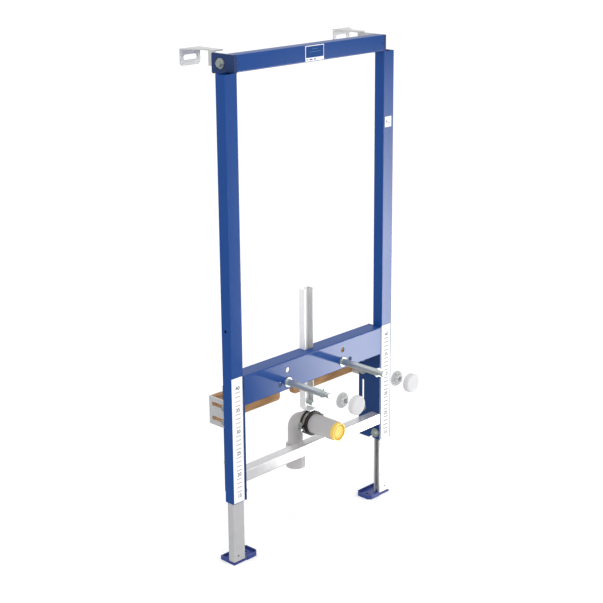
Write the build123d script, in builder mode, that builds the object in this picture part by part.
from build123d import *
import os

os.makedirs("parts", exist_ok=True)

# Directions: X along the frame, Y from the room towards the wall, Z up from the floor.
# The origin is on the floor, midway between the posts and midway between the
# protective caps in front and the wall plates behind.

# Whole frame
frame_width = 525
frame_height = 1120
room = 0.3              # running clearance between pieces that slide on each other

# Posts, rectangular tube
post_width = 37
post_depth = 27
post_wall = 1.5
post_end = 17           # from the leg bolt down to the post's lower end
post_corner = 3
service_hole = 7
service_hole_z = 542

# Top bar, channel open to the back
bar_height = 36
bar_depth = 27
bar_wall = 2
fold = 2.5              # outside radius of a folded edge
rim_gap = 1             # between the post's rim and the top bar
plate_slit = 7          # upright slit beside each end of the top bar
slit_width = 2

# End brackets of the top bar
end_plate = 3
end_flange = 8
end_depth = 67
end_drop = 5            # how far the plate hangs below the post's rim behind the post
clamp_bolt_y = 40
clamp_bolt_drop = 20

# Wall brackets, folded sheet
wall_sheet = 2.5
wall_reach = 135        # front of the posts to the wall
wall_plate_width = 55
wall_plate_height = 36
wall_plate_corner = 8
wall_plate_inset = 3    # from the post's outer face
wall_slot_length = 38
wall_slot_width = 11
wall_slot_drop = 19
arm_width = 23
arm_front = 6
arm_web_end = 80
arm_web_height = 33
arm_top_front = 60
neck = 40               # length of the taper between wall plate and arm
arm_slot_front = 10
arm_slot_end = 64
lift = 2                # the folded top clears the top bar by this

# Crossbeam, channel open to the back
rod_height = 385        # centre of the fixing rods
rod_inset = 18          # from the beam's lower edge up to the rods
beam_height = 68
beam_depth = 39
beam_wall = 2
rod_spacing = 180
spare_spacing = 230
upper_hole_rise = 28.5  # from the rods up to the second pair of holes
spare_hole = 12

# Lower rail, channel open to the back
rail_gap = 19           # between the drain pipe and the rail under it
rail_height = 27
rail_depth = 25
rail_wall = 2

# Side plates that carry beam, rail and board brackets
side_plate = 3
side_depth = 67
side_rise = 0.5         # the plate's top over the crossbeam
side_shoulder = 40      # how far the plate's back edge stays under its top
side_slot_width = 7
side_slot_y = 54
side_slot_bottom = 240
side_slot_top = 292
leg_bolt_y = 13
leg_bolt_drop = 25      # from the lower rail down to the leg bolt
arch_width = 32
arch_rise = 7
arch_shift = 5

# Legs, lipped channel that slides in the post
leg_width = 33.4
leg_depth = 19
leg_wall = 2
leg_lip = 5
leg_front = 3.5
leg_length = 330
leg_pin_hole = 5
leg_pin_height = 14

# Feet, pressed trays
foot_length = 71
foot_depth = 42.5
foot_front = 3.5
foot_sheet = 4
foot_rim = 10
foot_rim_wall = 3
foot_inset = 2
foot_corner = 8
foot_hole = 10
foot_hole_x = 54        # from the foot's outer edge
foot_hole_y = 25

# Plywood boards and their brackets
board_front = 93.5
board_thickness = 12.5
board_bottom = 299
board_height = 65
board_gap = 44
board_corner = 8
bracket_sheet = 2.5
bracket_front = 47
bracket_return = 38
bracket_corner = 6
bracket_slot_width = 9
bracket_slot_front = 52
bracket_slot_end = 100
bracket_slot_spacing = 33

# Upright channel in the middle
channel_width = 27
channel_depth = 18
channel_wall = 2
channel_back = 38
channel_rise = 4.5      # the channel's lower end over the clamp bracket's tab
channel_top = 576
channel_slot_width = 8.5
lower_slot_start = 5    # from the channel's lower end
lower_slot_length = 58
upper_slot_start = 16   # from the channel's upper end
upper_slot_length = 105

# Drain
pipe_height = 257.5
pipe_radius = 22.5
pipe_wall = 3
pipe_front = 62.5       # in front of the posts
pipe_back = 39
bend_radius = 28
leg_pipe_radius = 17.3
socket_radius = 22
socket_bore = 20.2
socket_drop = 67.5      # from the inlet's axis down to the socket's shoulder
socket_length = 55.5
socket_depth = 40
plug_radius = 20.5
plug_length = 9
plug_rim = 2.5
plug_skirt = 14

# Pipe clamp
clamp_y = 15
rubber_room = 0.1
rubber_thickness = 4
rubber_width = 20
band_thickness = 2
band_width = 12
ear_length = 15
ear_gap = 5
boss_radius = 5.5
boss_shift = 0.3
clamp_screw = 6
tab_sheet = 2.5
tab_rise = 2.5          # the tab's underside over the clamp's band
tab_front = 8
tab_leg_height = 46
tab_width = 21
wing_rest = 4           # how far the bolt stands above the lower end of its travel
wing_hub = 28
hub_wall = 1
wing_span = 15
wing_width = 8
wing_sheet = 2.5

# Fixing rods with sleeves, nuts and caps
rod_radius = 6
rod_tip = 126           # in front of the posts
rod_back = 26
rod_chamfer = 1.2
sleeve_wall = 1.4
sleeve_end = 114
star_radius = 10.5      # flexible fingers that centre the sleeve in its bore
star_width = 3
star_fingers = 8
star_gap = 3
star_place = 6          # from the sleeve's end
collar_radius = 11
collar_thickness = 2.5
nut_disc_radius = 15.5
nut_disc = 3
nut_flats = 19
nut_height = 8
nut_place = 160         # in front of the posts, shown taken off
cap_radius = 18.5
cap_depth = 14
cap_skirt = 7
cap_crown = 11          # radius of the flat middle of the cap's face
cap_hollow = 7
cap_wall = 2
cap_place = 196

# M8 flange bolts
bolt_radius = 4
bolt_flange = 11
bolt_flange_height = 2
bolt_head_flats = 13
bolt_head_height = 6
nut_block = 13
nut_block_height = 6

# Places worked out from the sizes above
half = frame_width / 2
inner = half - post_width
cap_reach = cap_place + cap_depth
front = (cap_reach - wall_reach) / 2
post_top = frame_height - bar_height - rim_gap
beam_end = inner - side_plate
end_plate_x = inner + end_flange
arm_x = end_plate_x - end_plate - room
wall_y = front + wall_reach
beam_bottom = rod_height - rod_inset
beam_top = beam_bottom + beam_height
upper_hole_height = rod_height + upper_hole_rise
side_top = beam_top + side_rise
rail_bottom = pipe_height - pipe_radius - rail_gap - rail_height
leg_bolt_z = rail_bottom - leg_bolt_drop
post_bottom = leg_bolt_z - post_end
band_seat = pipe_radius + rubber_thickness
band_outer = band_seat + band_thickness
tab_bottom = pipe_height + band_outer + tab_rise
channel_bottom = tab_bottom + channel_rise
lower_slot_bottom = channel_bottom + lower_slot_start
wing_z = lower_slot_bottom + bolt_radius + room + wing_rest


# Posts: rectangular tubes, open at both ends
with BuildPart() as left_post:
    with BuildSketch(Plane.XY.offset(post_bottom)) as post_section:
        with Locations((-half + post_width / 2, front + post_depth / 2)):
            RectangleRounded(post_width, post_depth, post_corner)
            RectangleRounded(post_width - 2 * post_wall, post_depth - 2 * post_wall,
                             post_corner - post_wall, mode=Mode.SUBTRACT)
    extrude(amount=post_top - post_bottom)
    with BuildSketch(Plane.YZ.offset(-half)) as service_holes:
        with Locations((front + post_depth / 2, service_hole_z)):
            Circle(service_hole / 2)
    extrude(amount=post_wall, mode=Mode.SUBTRACT)
    with BuildSketch(Plane.YZ.offset(-inner)) as post_bolt_hole:
        with Locations((front + leg_bolt_y, leg_bolt_z)):
            Circle(bolt_radius + room)
    extrude(amount=-post_wall, mode=Mode.SUBTRACT)
left_post.part.label = "left_post"
export_step(left_post.part, "parts/left_post.step")

with BuildPart() as right_post:
    mirror(left_post.part, about=Plane.YZ)
right_post.part.label = "right_post"
export_step(right_post.part, "parts/right_post.step")

# Top bar: a channel, folded edges in front
bar_length = 2 * inner
with BuildPart() as top_bar:
    with BuildSketch(Plane.YZ.offset(-inner)) as bar_section:
        with Locations((front, frame_height - bar_height)):
            Rectangle(bar_depth, bar_height, align=(Align.MIN, Align.MIN))
        fillet(bar_section.vertices().group_by(Axis.X)[0], fold)
        with Locations((front + bar_wall, frame_height - bar_height + bar_wall)):
            Rectangle(bar_depth, bar_height - 2 * bar_wall, align=(Align.MIN, Align.MIN),
                      mode=Mode.SUBTRACT)
    extrude(amount=bar_length)
    with BuildSketch(Plane.XZ.offset(-front)) as slits:
        with Locations((inner - 2 * slit_width, frame_height - bar_height / 2),
                       (2 * slit_width - inner, frame_height - bar_height / 2)):
            SlotOverall(plate_slit, slit_width, rotation=90)
    extrude(amount=-bar_wall, mode=Mode.SUBTRACT)
top_bar.part.label = "top_bar"
export_step(top_bar.part, "parts/top_bar.step")

# End brackets: a plate across the post's rim with a flange to the bar
clamp_bolt_z = frame_height - clamp_bolt_drop
with BuildPart() as left_top_bracket:
    with BuildSketch(Plane.YZ.offset(-end_plate_x)) as end_outline:
        with BuildLine() as end_edge:
            Polyline((front, post_top), (front, frame_height), (front + end_depth, frame_height),
                     (front + end_depth, post_top - end_drop), (front + post_depth + 1, post_top - end_drop),
                     (front + post_depth + 1, post_top), close=True)
        make_face()
        fillet(end_outline.vertices().sort_by(Axis.X)[-2:], bracket_corner / 2)
        with Locations((front + clamp_bolt_y, clamp_bolt_z)):
            Circle(bolt_radius + room, mode=Mode.SUBTRACT)
    extrude(amount=end_plate)
    with BuildSketch(Plane.XY.offset(post_top)) as end_flange_section:
        with Locations((-end_plate_x, front)):
            Rectangle(end_flange, end_plate, align=(Align.MIN, Align.MIN))
    extrude(amount=frame_height - post_top)
left_top_bracket.part.label = "left_top_bracket"
export_step(left_top_bracket.part, "parts/left_top_bracket.step")

with BuildPart() as right_top_bracket:
    mirror(left_top_bracket.part, about=Plane.YZ)
right_top_bracket.part.label = "right_top_bracket"
export_step(right_top_bracket.part, "parts/right_top_bracket.step")

# Wall brackets: plate on the wall, folded top that narrows to the arm, web in the end bracket
wall_top = frame_height + lift
wall_plate_x = half - wall_plate_inset
arm_low = wall_top + wall_sheet - arm_web_height
with BuildPart() as left_wall_bracket:
    with BuildSketch(Plane.XZ.offset(-wall_y)) as wall_plate:
        with Locations((-wall_plate_x, wall_top + wall_sheet)):
            Rectangle(wall_plate_width, wall_plate_height, align=(Align.MIN, Align.MAX))
        fillet(wall_plate.vertices().group_by(Axis.Y)[0], wall_plate_corner)
        with Locations((-wall_plate_x + wall_plate_width / 2, wall_top - wall_slot_drop + wall_sheet)):
            SlotOverall(wall_slot_length, wall_slot_width, mode=Mode.SUBTRACT)
    extrude(amount=wall_sheet)
    with BuildSketch(Plane.XY.offset(wall_top)) as folded_top:
        with BuildLine() as top_edge:
            Polyline((-wall_plate_x, wall_y), (-wall_plate_x + wall_plate_width, wall_y),
                     (-arm_x + arm_width, wall_y - neck), (-arm_x + arm_width, front + arm_top_front),
                     (-arm_x, front + arm_top_front), (-arm_x, wall_y - neck), close=True)
        make_face()
    extrude(amount=wall_sheet)
    with BuildSketch(Plane.YZ.offset(-arm_x)) as arm_web:
        with Locations((front + arm_front, arm_low)):
            Rectangle(arm_web_end - arm_front, arm_web_height - lift - wall_sheet,
                      align=(Align.MIN, Align.MIN))
        with Locations((front + arm_top_front, arm_low)):
            Rectangle(arm_web_end - arm_top_front, arm_web_height, align=(Align.MIN, Align.MIN))
        with Locations((front + (arm_slot_front + arm_slot_end) / 2, clamp_bolt_z)):
            SlotOverall(arm_slot_end - arm_slot_front, 2 * (bolt_radius + room), mode=Mode.SUBTRACT)
    extrude(amount=wall_sheet)
left_wall_bracket.part.label = "left_wall_bracket"
export_step(left_wall_bracket.part, "parts/left_wall_bracket.step")

with BuildPart() as right_wall_bracket:
    mirror(left_wall_bracket.part, about=Plane.YZ)
right_wall_bracket.part.label = "right_wall_bracket"
export_step(right_wall_bracket.part, "parts/right_wall_bracket.step")

# Clamp bolts of the wall brackets: flange head outside, nut inside the web
top_nut_x = arm_x - wall_sheet - room
with BuildPart() as left_top_bolt:
    with BuildSketch(Plane.YZ.offset(-end_plate_x)) as top_bolt_flange:
        with Locations((front + clamp_bolt_y, clamp_bolt_z)):
            Circle(bolt_flange)
    extrude(amount=-bolt_flange_height)
    with BuildSketch(Plane.YZ.offset(-end_plate_x - bolt_flange_height)) as top_bolt_head:
        with Locations((front + clamp_bolt_y, clamp_bolt_z)):
            RegularPolygon(bolt_head_flats / 2, 6, major_radius=False)
    extrude(amount=-bolt_head_height)
    with BuildSketch(Plane.YZ.offset(-end_plate_x)) as top_bolt_shank:
        with Locations((front + clamp_bolt_y, clamp_bolt_z)):
            Circle(bolt_radius)
    extrude(amount=end_plate_x - top_nut_x)
    with BuildSketch(Plane.YZ.offset(-top_nut_x)) as top_bolt_nut:
        with Locations((front + clamp_bolt_y, clamp_bolt_z)):
            RegularPolygon(nut_block / 2, 6, major_radius=False)
    extrude(amount=nut_block_height)
left_top_bolt.part.label = "left_top_bolt"
export_step(left_top_bolt.part, "parts/left_top_bolt.step")

with BuildPart() as right_top_bolt:
    mirror(left_top_bolt.part, about=Plane.YZ)
right_top_bolt.part.label = "right_top_bolt"
export_step(right_top_bolt.part, "parts/right_top_bolt.step")

# Crossbeam: channel open to the back, both flanges notched for the upright channel
channel_front = channel_back - channel_depth
with BuildPart() as crossbeam:
    with BuildSketch(Plane.YZ.offset(-beam_end)) as beam_section:
        with Locations((front, beam_bottom)):
            Rectangle(beam_depth, beam_height, align=(Align.MIN, Align.MIN))
        fillet(beam_section.vertices().group_by(Axis.X)[0], fold)
        with Locations((front + beam_wall, beam_bottom + beam_wall)):
            Rectangle(beam_depth, beam_height - 2 * beam_wall, align=(Align.MIN, Align.MIN),
                      mode=Mode.SUBTRACT)
    extrude(amount=2 * beam_end)
    with BuildSketch(Plane.XY.offset(beam_bottom)) as channel_notch:
        with Locations((0, front + channel_front)):
            Rectangle(channel_width, beam_depth, align=(Align.CENTER, Align.MIN))
    extrude(amount=beam_height, mode=Mode.SUBTRACT)
    with BuildSketch(Plane.XZ.offset(-front)) as beam_holes:
        with Locations((-rod_spacing / 2, rod_height), (rod_spacing / 2, rod_height)):
            Circle(rod_radius + room)
        with Locations((-spare_spacing / 2, rod_height), (spare_spacing / 2, rod_height),
                       (-rod_spacing / 2, upper_hole_height), (rod_spacing / 2, upper_hole_height)):
            Circle(spare_hole / 2)
    extrude(amount=-beam_wall, mode=Mode.SUBTRACT)
crossbeam.part.label = "crossbeam"
export_step(crossbeam.part, "parts/crossbeam.step")

# Lower rail: channel open to the back
with BuildPart() as lower_rail:
    with BuildSketch(Plane.YZ.offset(-beam_end)) as rail_section:
        with Locations((front, rail_bottom)):
            Rectangle(rail_depth, rail_height, align=(Align.MIN, Align.MIN))
        fillet(rail_section.vertices().group_by(Axis.X)[0], fold)
        with Locations((front + rail_wall, rail_bottom + rail_wall)):
            Rectangle(rail_depth, rail_height - 2 * rail_wall, align=(Align.MIN, Align.MIN),
                      mode=Mode.SUBTRACT)
    extrude(amount=2 * beam_end)
lower_rail.part.label = "lower_rail"
export_step(lower_rail.part, "parts/lower_rail.step")

# Side plates on the posts' inner faces, arched at the foot round the leg bolt
board_centre = board_bottom + board_height / 2
bracket_bolt_y = bracket_slot_front + bolt_radius + room
arch_y = front + leg_bolt_y + arch_shift
with BuildPart() as left_side_plate:
    with BuildSketch(Plane.YZ.offset(-inner)) as side_outline:
        with BuildLine() as side_edge:
            Polyline((front, post_bottom), (front, side_top), (front + beam_depth, side_top),
                     (front + side_depth, side_top - side_shoulder), (front + side_depth, post_bottom),
                     close=True)
        make_face()
        with BuildLine() as arch:
            ThreePointArc((arch_y - arch_width / 2, post_bottom), (arch_y, post_bottom + arch_rise),
                          (arch_y + arch_width / 2, post_bottom))
            Line((arch_y + arch_width / 2, post_bottom), (arch_y - arch_width / 2, post_bottom))
        make_face(mode=Mode.SUBTRACT)
        with Locations((front + side_slot_y, (side_slot_bottom + side_slot_top) / 2)):
            SlotOverall(side_slot_top - side_slot_bottom, side_slot_width, rotation=90,
                        mode=Mode.SUBTRACT)
        with Locations((front + leg_bolt_y, leg_bolt_z)):
            Circle(bolt_radius + room, mode=Mode.SUBTRACT)
        with Locations((front + bracket_bolt_y, board_centre - bracket_slot_spacing / 2),
                       (front + bracket_bolt_y, board_centre + bracket_slot_spacing / 2)):
            Circle(bolt_radius + room, mode=Mode.SUBTRACT)
    extrude(amount=side_plate)
left_side_plate.part.label = "left_side_plate"
export_step(left_side_plate.part, "parts/left_side_plate.step")

with BuildPart() as right_side_plate:
    mirror(left_side_plate.part, about=Plane.YZ)
right_side_plate.part.label = "right_side_plate"
export_step(right_side_plate.part, "parts/right_side_plate.step")

# Legs: lipped channels, open towards the middle of the frame
leg_outer = inner + post_wall + room + leg_width
leg_inner = leg_outer - leg_width
with BuildPart() as left_leg:
    with BuildSketch(Plane.XY.offset(foot_sheet)) as leg_section:
        with Locations((-leg_outer, front + leg_front)):
            Rectangle(leg_width, leg_depth, align=(Align.MIN, Align.MIN))
        fillet(leg_section.vertices(), leg_wall)
        with Locations((-leg_outer + leg_wall, front + leg_front + leg_wall)):
            Rectangle(leg_width - 2 * leg_wall, leg_depth - 2 * leg_wall,
                      align=(Align.MIN, Align.MIN), mode=Mode.SUBTRACT)
        with Locations((-leg_inner, front + leg_front + leg_lip)):
            Rectangle(2 * leg_wall, leg_depth - 2 * leg_lip, align=(Align.CENTER, Align.MIN),
                      mode=Mode.SUBTRACT)
    extrude(amount=leg_length)
    with BuildSketch(Plane.XZ.offset(-front - leg_front)) as leg_pin:
        with Locations((-leg_inner - leg_width / 4, foot_sheet + leg_pin_height)):
            Circle(leg_pin_hole / 2)
    extrude(amount=-leg_wall, mode=Mode.SUBTRACT)
left_leg.part.label = "left_leg"
export_step(left_leg.part, "parts/left_leg.step")

with BuildPart() as right_leg:
    mirror(left_leg.part, about=Plane.YZ)
right_leg.part.label = "right_leg"
export_step(right_leg.part, "parts/right_leg.step")

# Leg bolts: flange head on the side plate, nut block inside the leg
leg_nut_x = leg_inner + leg_wall + room
with BuildPart() as left_leg_bolt:
    with BuildSketch(Plane.YZ.offset(-beam_end)) as leg_bolt_flange:
        with Locations((front + leg_bolt_y, leg_bolt_z)):
            Circle(bolt_flange)
    extrude(amount=bolt_flange_height)
    with BuildSketch(Plane.YZ.offset(-beam_end + bolt_flange_height)) as leg_bolt_head:
        with Locations((front + leg_bolt_y, leg_bolt_z)):
            RegularPolygon(bolt_head_flats / 2, 6, major_radius=False)
    extrude(amount=bolt_head_height)
    with BuildSketch(Plane.YZ.offset(-leg_nut_x)) as leg_bolt_shank:
        with Locations((front + leg_bolt_y, leg_bolt_z)):
            Circle(bolt_radius)
    extrude(amount=leg_nut_x - beam_end)
    with BuildSketch(Plane.YZ.offset(-leg_nut_x)) as leg_bolt_nut:
        with Locations((front + leg_bolt_y, leg_bolt_z)):
            Rectangle(nut_block, nut_block)
    extrude(amount=-nut_block_height)
left_leg_bolt.part.label = "left_leg_bolt"
export_step(left_leg_bolt.part, "parts/left_leg_bolt.step")

with BuildPart() as right_leg_bolt:
    mirror(left_leg_bolt.part, about=Plane.YZ)
right_leg_bolt.part.label = "right_leg_bolt"
export_step(right_leg_bolt.part, "parts/right_leg_bolt.step")

# Feet: pressed trays with a raised rim, cut away in front where the leg stands
foot_outer = half - foot_inset
foot_toe = foot_outer - foot_length
with BuildPart() as left_foot:
    with BuildSketch(Plane.XY) as foot_outline:
        with Locations((-foot_outer, front + foot_front)):
            Rectangle(foot_length, foot_depth, align=(Align.MIN, Align.MIN))
        fillet(foot_outline.vertices().group_by(Axis.X)[-1], foot_corner)
    extrude(amount=foot_rim)
    with BuildSketch(Plane.XY.offset(foot_sheet)) as tray:
        with Locations((-foot_outer, front + foot_front)):
            Rectangle(leg_outer - leg_inner + foot_rim_wall, foot_depth - foot_rim_wall,
                      align=(Align.MIN, Align.MIN))
        with Locations((-foot_outer, front + foot_front + foot_rim_wall)):
            Rectangle(foot_length - foot_rim_wall, foot_depth - 2 * foot_rim_wall,
                      align=(Align.MIN, Align.MIN))
    extrude(amount=foot_rim, mode=Mode.SUBTRACT)
    with BuildSketch(Plane.XY) as foot_bolt_hole:
        with Locations((-foot_outer + foot_hole_x, front + foot_hole_y)):
            Circle(foot_hole / 2)
    extrude(amount=foot_sheet, mode=Mode.SUBTRACT)
left_foot.part.label = "left_foot"
export_step(left_foot.part, "parts/left_foot.step")

with BuildPart() as right_foot:
    mirror(left_foot.part, about=Plane.YZ)
right_foot.part.label = "right_foot"
export_step(right_foot.part, "parts/right_foot.step")

# Board brackets: slotted web beside the side plate, flange behind the board
bracket_x = inner + room
board_back = board_front + board_thickness
with BuildPart() as left_board_bracket:
    with BuildSketch(Plane.YZ.offset(-bracket_x)) as bracket_outline:
        with Locations((front + bracket_front, board_bottom)):
            Rectangle(board_back + bracket_sheet - bracket_front, board_height,
                      align=(Align.MIN, Align.MIN))
        fillet(bracket_outline.vertices().group_by(Axis.X)[0], bracket_corner)
        with Locations((front + (bracket_slot_front + bracket_slot_end) / 2,
                        board_centre - bracket_slot_spacing / 2),
                       (front + (bracket_slot_front + bracket_slot_end) / 2,
                        board_centre + bracket_slot_spacing / 2)):
            SlotOverall(bracket_slot_end - bracket_slot_front, bracket_slot_width,
                        mode=Mode.SUBTRACT)
    extrude(amount=-bracket_sheet)
    with BuildSketch(Plane.XZ.offset(-front - board_back)) as return_outline:
        with Locations((-bracket_x - bracket_sheet, board_bottom)):
            Rectangle(bracket_return, board_height, align=(Align.MIN, Align.MIN))
        fillet(return_outline.vertices().group_by(Axis.X)[-1], bracket_corner)
    extrude(amount=-bracket_sheet)
left_board_bracket.part.label = "left_board_bracket"
export_step(left_board_bracket.part, "parts/left_board_bracket.step")

with BuildPart() as right_board_bracket:
    mirror(left_board_bracket.part, about=Plane.YZ)
right_board_bracket.part.label = "right_board_bracket"
export_step(right_board_bracket.part, "parts/right_board_bracket.step")

# Plywood boards, one each side of the middle gap
with BuildPart() as left_board:
    with BuildSketch(Plane.XZ.offset(-front - board_front)) as board_outline:
        with Locations((-bracket_x, board_bottom)):
            Rectangle(bracket_x - board_gap / 2, board_height, align=(Align.MIN, Align.MIN))
        fillet(board_outline.vertices().group_by(Axis.X)[-1], board_corner)
    extrude(amount=-board_thickness)
left_board.part.label = "left_board"
export_step(left_board.part, "parts/left_board.step")

with BuildPart() as right_board:
    mirror(left_board.part, about=Plane.YZ)
right_board.part.label = "right_board"
export_step(right_board.part, "parts/right_board.step")

# Upright channel, open to the front, held in the crossbeam's notches
with BuildPart() as channel:
    with BuildSketch(Plane.XY.offset(channel_bottom)) as channel_section:
        with Locations((0, front + channel_front)):
            Rectangle(channel_width, channel_depth, align=(Align.CENTER, Align.MIN))
            Rectangle(channel_width - 2 * channel_wall, channel_depth - channel_wall,
                      align=(Align.CENTER, Align.MIN), mode=Mode.SUBTRACT)
    extrude(amount=channel_top - channel_bottom)
    with BuildSketch(Plane.XZ.offset(-front - channel_back)) as channel_slots:
        with Locations((0, lower_slot_bottom + lower_slot_length / 2)):
            SlotOverall(lower_slot_length, channel_slot_width, rotation=90)
        with Locations((0, channel_top - upper_slot_start - upper_slot_length / 2)):
            SlotOverall(upper_slot_length, channel_slot_width, rotation=90)
    extrude(amount=channel_wall, mode=Mode.SUBTRACT)
channel.part.label = "channel"
export_step(channel.part, "parts/channel.step")

# Clamp bracket: leg in the channel, tab over the pipe clamp
web_face = channel_back - channel_wall - room
with BuildPart() as clamp_bracket:
    with BuildSketch(Plane.XZ.offset(-front - web_face)) as tab_leg:
        with Locations((0, tab_bottom)):
            Rectangle(tab_width, tab_leg_height, align=(Align.CENTER, Align.MIN))
        with Locations((0, wing_z)):
            Circle(bolt_radius + room, mode=Mode.SUBTRACT)
    extrude(amount=tab_sheet)
    with BuildSketch(Plane.XY.offset(tab_bottom)) as tab:
        with Locations((0, front + tab_front)):
            Rectangle(tab_width, web_face - tab_front, align=(Align.CENTER, Align.MIN))
    extrude(amount=tab_sheet)
clamp_bracket.part.label = "clamp_bracket"
export_step(clamp_bracket.part, "parts/clamp_bracket.step")

# Wing bolt that holds the clamp bracket in the channel's slot
hub_face = front + web_face - tab_sheet - wing_hub
with BuildPart() as wing_bolt:
    with BuildSketch(Plane.XZ.offset(-front - web_face + tab_sheet)) as hub:
        with Locations((0, wing_z)):
            Circle(bolt_radius + hub_wall)
    extrude(amount=wing_hub)
    with BuildSketch(Plane.XZ.offset(-hub_face - wing_sheet)) as wings:
        with Locations((0, wing_z)):
            SlotOverall(wing_span, wing_width)
    extrude(amount=wing_sheet)
    with BuildSketch(Plane.XZ.offset(-front - web_face + tab_sheet)) as wing_shank:
        with Locations((0, wing_z)):
            Circle(bolt_radius)
    extrude(amount=-(tab_sheet + 2 * room + channel_wall))
    with BuildSketch(Plane.XZ.offset(-front - channel_back - room)) as wing_nut:
        with Locations((0, wing_z)):
            RegularPolygon(nut_block / 2, 6, major_radius=False)
    extrude(amount=-nut_block_height)
wing_bolt.part.label = "wing_bolt"
export_step(wing_bolt.part, "parts/wing_bolt.step")

# Drain pipe: straight inlet with a shoulder where the bend begins
with BuildPart() as drain_pipe:
    with BuildSketch(Plane.XZ.offset(-front + pipe_front)) as inlet:
        with Locations((0, pipe_height)):
            Circle(pipe_radius)
            Circle(pipe_radius - pipe_wall, mode=Mode.SUBTRACT)
    extrude(amount=-(pipe_front + pipe_back))
    with BuildSketch(Plane.XZ.offset(-front - pipe_back)) as shoulder:
        with Locations((0, pipe_height)):
            Circle(pipe_radius)
            Circle(leg_pipe_radius - pipe_wall, mode=Mode.SUBTRACT)
    extrude(amount=pipe_wall)
drain_pipe.part.label = "drain_pipe"
export_step(drain_pipe.part, "parts/drain_pipe.step")

# Drain bend: quarter turn down into the outlet socket
bend_y = front + pipe_back + bend_radius
bend_z = pipe_height - bend_radius
socket_top = pipe_height - socket_drop
socket_bottom = socket_top - socket_length
with BuildPart() as drain_bend:
    with BuildLine(Plane.YZ) as bend_path:
        RadiusArc((front + pipe_back, pipe_height), (bend_y, bend_z), bend_radius)
    with BuildSketch(Plane.XZ.offset(-front - pipe_back)) as bend_section:
        with Locations((0, pipe_height)):
            Circle(leg_pipe_radius)
            Circle(leg_pipe_radius - pipe_wall, mode=Mode.SUBTRACT)
    sweep(path=bend_path.line)
    with BuildSketch(Plane.XY.offset(bend_z)) as outlet:
        with Locations((0, bend_y)):
            Circle(leg_pipe_radius)
            Circle(leg_pipe_radius - pipe_wall, mode=Mode.SUBTRACT)
    extrude(amount=socket_top - bend_z)
    with BuildSketch(Plane.XY.offset(socket_top)) as socket:
        with Locations((0, bend_y)):
            Circle(socket_radius)
            Circle(leg_pipe_radius - pipe_wall, mode=Mode.SUBTRACT)
    extrude(amount=-socket_length)
    with BuildSketch(Plane.XY.offset(socket_bottom)) as socket_hollow:
        with Locations((0, bend_y)):
            Circle(socket_bore)
    extrude(amount=socket_depth, mode=Mode.SUBTRACT)
drain_bend.part.label = "drain_bend"
export_step(drain_bend.part, "parts/drain_bend.step")

# Yellow plug: skirt in the pipe, rim over its end, raised ring on the face
plug_face = front - pipe_front - plug_length
with BuildPart() as drain_plug:
    with BuildSketch(Plane.XZ.offset(-front + pipe_front)) as plug_cap:
        with Locations((0, pipe_height)):
            Circle(plug_radius)
    extrude(amount=plug_length)
    with BuildSketch(Plane.XZ.offset(-plug_face)) as plug_dish:
        with Locations((0, pipe_height)):
            Circle(plug_radius - plug_rim)
    extrude(amount=-plug_rim, mode=Mode.SUBTRACT)
    with BuildSketch(Plane.XZ.offset(-front + pipe_front)) as plug_stub:
        with Locations((0, pipe_height)):
            Circle(pipe_radius - pipe_wall)
            Circle(pipe_radius - 2 * pipe_wall, mode=Mode.SUBTRACT)
    extrude(amount=-plug_skirt)
drain_plug.part.label = "drain_plug"
export_step(drain_plug.part, "parts/drain_plug.step")

# Rubber lining of the clamp, with a lip each side of the band
with BuildPart() as clamp_rubber:
    with BuildSketch(Plane.XZ.offset(-front - clamp_y + rubber_width / 2)) as rubber_section:
        with Locations((0, pipe_height)):
            Circle(band_seat + band_thickness)
            Circle(pipe_radius + rubber_room, mode=Mode.SUBTRACT)
    extrude(amount=-rubber_width)
    with BuildSketch(Plane.XZ.offset(-front - clamp_y + band_width / 2)) as band_groove:
        with Locations((0, pipe_height)):
            Circle(band_seat + 2 * band_thickness)
            Circle(band_seat, mode=Mode.SUBTRACT)
    extrude(amount=-band_width, mode=Mode.SUBTRACT)
clamp_rubber.part.label = "clamp_rubber"
export_step(clamp_rubber.part, "parts/clamp_rubber.step")

# Clamp bands: two half rings with ears, the upper one with a boss under the tab
ear_x = band_seat + ear_length / 2 + band_thickness
band_plane = Plane.XZ.offset(-front - clamp_y + band_width / 2)
with BuildPart() as clamp_upper_band:
    with BuildSketch(band_plane) as upper_section:
        with Locations((0, pipe_height)):
            Circle(band_outer)
        with Locations((0, pipe_height + ear_gap / 2)):
            Rectangle(2 * (band_seat + ear_length), band_thickness, align=(Align.CENTER, Align.MIN))
        with Locations((0, pipe_height)):
            Circle(band_seat, mode=Mode.SUBTRACT)
        with Locations((0, pipe_height + ear_gap / 2)):
            Rectangle(4 * band_outer, 4 * band_outer, align=(Align.CENTER, Align.MAX),
                      mode=Mode.SUBTRACT)
    extrude(amount=-band_width)
    with BuildSketch(Plane.XY.offset(pipe_height)) as upper_ear_holes:
        with Locations((-ear_x, front + clamp_y), (ear_x, front + clamp_y)):
            Circle(clamp_screw / 2 + room)
    extrude(amount=ear_gap + band_thickness, mode=Mode.SUBTRACT)
    with BuildSketch(Plane.XY.offset(tab_bottom)) as boss:
        with Locations((0, front + clamp_y - boss_shift)):
            Circle(boss_radius)
    extrude(amount=pipe_height + band_outer - band_thickness / 2 - tab_bottom)
clamp_upper_band.part.label = "clamp_upper_band"
export_step(clamp_upper_band.part, "parts/clamp_upper_band.step")

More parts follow.
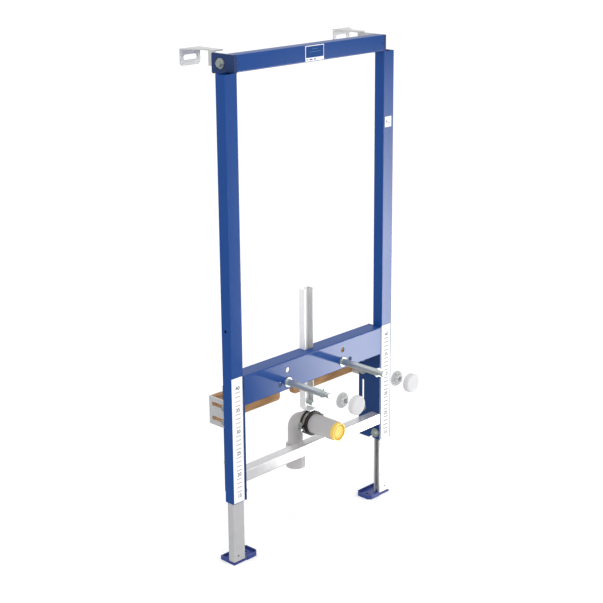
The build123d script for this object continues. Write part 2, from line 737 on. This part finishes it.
with BuildPart() as clamp_lower_band:
    with BuildSketch(band_plane) as lower_section:
        with Locations((0, pipe_height)):
            Circle(band_outer)
        with Locations((0, pipe_height - ear_gap / 2)):
            Rectangle(2 * (band_seat + ear_length), band_thickness, align=(Align.CENTER, Align.MAX))
        with Locations((0, pipe_height)):
            Circle(band_seat, mode=Mode.SUBTRACT)
        with Locations((0, pipe_height - ear_gap / 2)):
            Rectangle(4 * band_outer, 4 * band_outer, align=(Align.CENTER, Align.MIN),
                      mode=Mode.SUBTRACT)
    extrude(amount=-band_width)
    with BuildSketch(Plane.XY.offset(pipe_height)) as lower_ear_holes:
        with Locations((-ear_x, front + clamp_y), (ear_x, front + clamp_y)):
            Circle(clamp_screw / 2 + room)
    extrude(amount=-ear_gap - band_thickness, mode=Mode.SUBTRACT)
clamp_lower_band.part.label = "clamp_lower_band"
export_step(clamp_lower_band.part, "parts/clamp_lower_band.step")

# Clamp screws through the ears
ear_face = ear_gap / 2 + band_thickness
with BuildPart() as left_clamp_screw:
    with BuildSketch(Plane.XY.offset(pipe_height - ear_face)) as screw_shank:
        with Locations((-ear_x, front + clamp_y)):
            Circle(clamp_screw / 2)
    extrude(amount=2 * ear_face)
    with BuildSketch(Plane.XY.offset(pipe_height + ear_face)) as screw_head:
        with Locations((-ear_x, front + clamp_y)):
            Circle(clamp_screw * 0.8)
    extrude(amount=bolt_head_height * 0.7)
    with BuildSketch(Plane.XY.offset(pipe_height - ear_face)) as screw_nut:
        with Locations((-ear_x, front + clamp_y)):
            RegularPolygon(clamp_screw * 0.8, 6, major_radius=False)
    extrude(amount=-bolt_head_height * 0.8)
left_clamp_screw.part.label = "left_clamp_screw"
export_step(left_clamp_screw.part, "parts/left_clamp_screw.step")

with BuildPart() as right_clamp_screw:
    mirror(left_clamp_screw.part, about=Plane.YZ)
right_clamp_screw.part.label = "right_clamp_screw"
export_step(right_clamp_screw.part, "parts/right_clamp_screw.step")

# Fixing rods through the crossbeam
with BuildPart() as left_rod:
    with BuildSketch(Plane.XZ.offset(-front + rod_tip)) as rod_section:
        with Locations((-rod_spacing / 2, rod_height)):
            Circle(rod_radius)
    extrude(amount=-(rod_tip + rod_back))
    chamfer(left_rod.faces().sort_by(Axis.Y)[0].edges(), rod_chamfer)
left_rod.part.label = "left_rod"
export_step(left_rod.part, "parts/left_rod.step")

with BuildPart() as right_rod:
    mirror(left_rod.part, about=Plane.YZ)
right_rod.part.label = "right_rod"
export_step(right_rod.part, "parts/right_rod.step")

# Sleeves over the rods, with a collar against the crossbeam
with BuildPart() as left_sleeve:
    with BuildSketch(Plane.XZ.offset(-front)) as sleeve_section:
        with Locations((-rod_spacing / 2, rod_height)):
            Circle(rod_radius + room + sleeve_wall)
            Circle(rod_radius + room, mode=Mode.SUBTRACT)
    extrude(amount=sleeve_end)
    with BuildSketch(Plane.XZ.offset(-front)) as collar_section:
        with Locations((-rod_spacing / 2, rod_height)):
            Circle(collar_radius)
            Circle(rod_radius + room, mode=Mode.SUBTRACT)
    extrude(amount=collar_thickness)
    with BuildSketch(Plane.XZ.offset(-front + sleeve_end - star_place - star_width)) as star:
        with Locations((-rod_spacing / 2, rod_height)):
            Circle(star_radius)
            Circle(rod_radius + room, mode=Mode.SUBTRACT)
            with PolarLocations(star_radius, star_fingers):
                Rectangle(star_radius - rod_radius, star_gap, mode=Mode.SUBTRACT)
    extrude(amount=star_width)
left_sleeve.part.label = "left_sleeve"
export_step(left_sleeve.part, "parts/left_sleeve.step")

with BuildPart() as right_sleeve:
    mirror(left_sleeve.part, about=Plane.YZ)
right_sleeve.part.label = "right_sleeve"
export_step(right_sleeve.part, "parts/right_sleeve.step")

# Flanged nuts, shown taken off in front of the rods
with BuildPart() as left_nut:
    with BuildSketch(Plane.XZ.offset(-front + nut_place)) as nut_disc_section:
        with Locations((-rod_spacing / 2, rod_height)):
            Circle(nut_disc_radius)
    extrude(amount=nut_disc)
    with BuildSketch(Plane.XZ.offset(-front + nut_place + nut_disc)) as nut_hex:
        with Locations((-rod_spacing / 2, rod_height)):
            RegularPolygon(nut_flats / 2, 6, major_radius=False)
    extrude(amount=nut_height)
    with BuildSketch(Plane.XZ.offset(-front + nut_place)) as nut_bore:
        with Locations((-rod_spacing / 2, rod_height)):
            Circle(rod_radius + room / 2)
    extrude(amount=nut_disc + nut_height, mode=Mode.SUBTRACT)
left_nut.part.label = "left_nut"
export_step(left_nut.part, "parts/left_nut.step")

with BuildPart() as right_nut:
    mirror(left_nut.part, about=Plane.YZ)
right_nut.part.label = "right_nut"
export_step(right_nut.part, "parts/right_nut.step")

# Protective caps, shown taken off in front of the nuts: skirt, rounded shoulder, flat crown
cap_y = front - cap_place
shoulder_depth = cap_depth - cap_skirt
shoulder_width = cap_radius - cap_crown
cap_plane = Plane(origin=(-rod_spacing / 2, cap_y, rod_height), x_dir=(0, -1, 0), z_dir=(-1, 0, 0))
with BuildPart() as left_cap:
    with BuildSketch(cap_plane) as cap_profile:
        with BuildLine() as cap_edge:
            Polyline((0, cap_radius - cap_wall), (0, cap_radius), (cap_skirt, cap_radius),
                     (cap_skirt + shoulder_depth * 0.5, cap_crown + shoulder_width * 0.87),
                     (cap_skirt + shoulder_depth * 0.87, cap_crown + shoulder_width * 0.5),
                     (cap_depth, cap_crown), (cap_depth, 0), (cap_hollow, 0),
                     (cap_hollow, cap_radius - cap_wall), close=True)
        make_face()
    revolve(axis=Axis(cap_plane.origin, (0, 1, 0)))
left_cap.part.label = "left_cap"
export_step(left_cap.part, "parts/left_cap.step")

with BuildPart() as right_cap:
    mirror(left_cap.part, about=Plane.YZ)
right_cap.part.label = "right_cap"
export_step(right_cap.part, "parts/right_cap.step")
